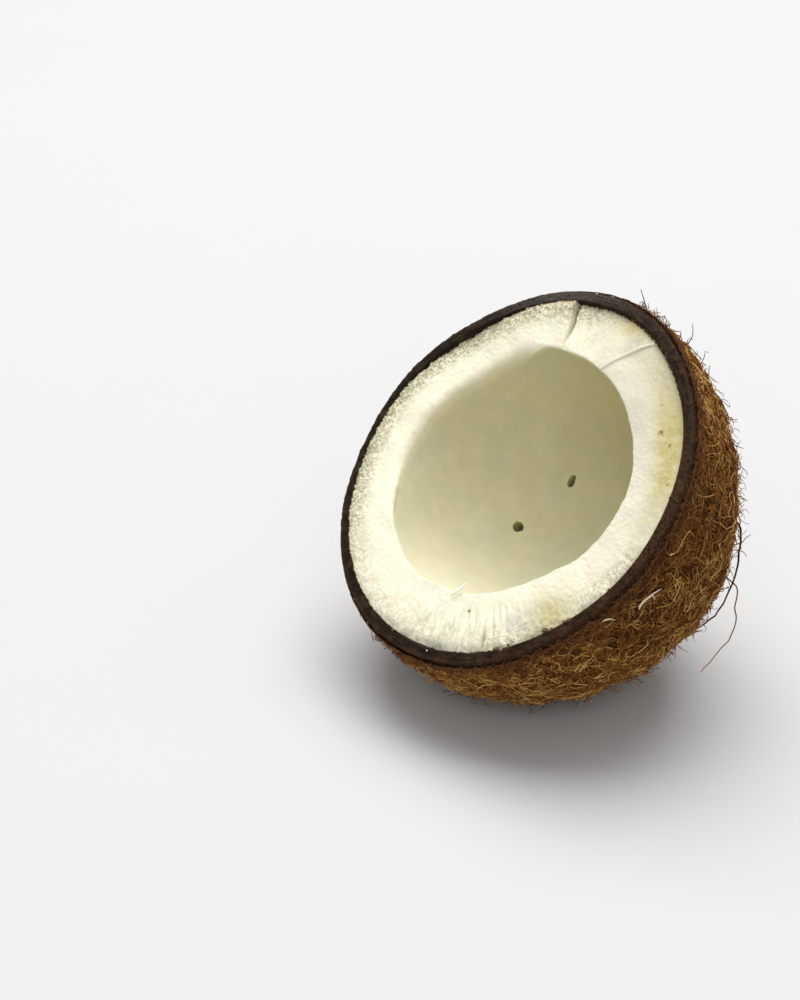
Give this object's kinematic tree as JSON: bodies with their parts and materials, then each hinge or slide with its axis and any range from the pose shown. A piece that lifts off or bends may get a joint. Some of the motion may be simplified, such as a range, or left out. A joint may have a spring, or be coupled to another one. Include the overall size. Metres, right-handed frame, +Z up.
{
  "type": "coconut half",
  "caption": "Half of a split mature coconut: thick white flesh round a deep open cavity, a thin dark hard shell and a felted brown coir husk, lying with the cut facing forwards and up.",
  "frame": {"origin": "on the resting surface, in the middle of the small flat spot of the husk, close under the weight", "axes": "+Z up away from the resting surface, +X along the level width of the cut, -Y the way the opening faces"},
  "size_m": [0.1122, 0.0987, 0.0983],
  "materials": {
    "flesh": "moist white coconut flesh, finely granular where it broke, smooth and grey-olive in the cavity",
    "shell": "hard black-brown shell, dull and woody on its broken edge",
    "husk": "dry matted coir, mid brown with lighter golden strands"
  },
  "bodies": {
    "root": {"flesh": "flesh", "shell": "shell", "husk": "husk"}
  },
  "joints": []
}
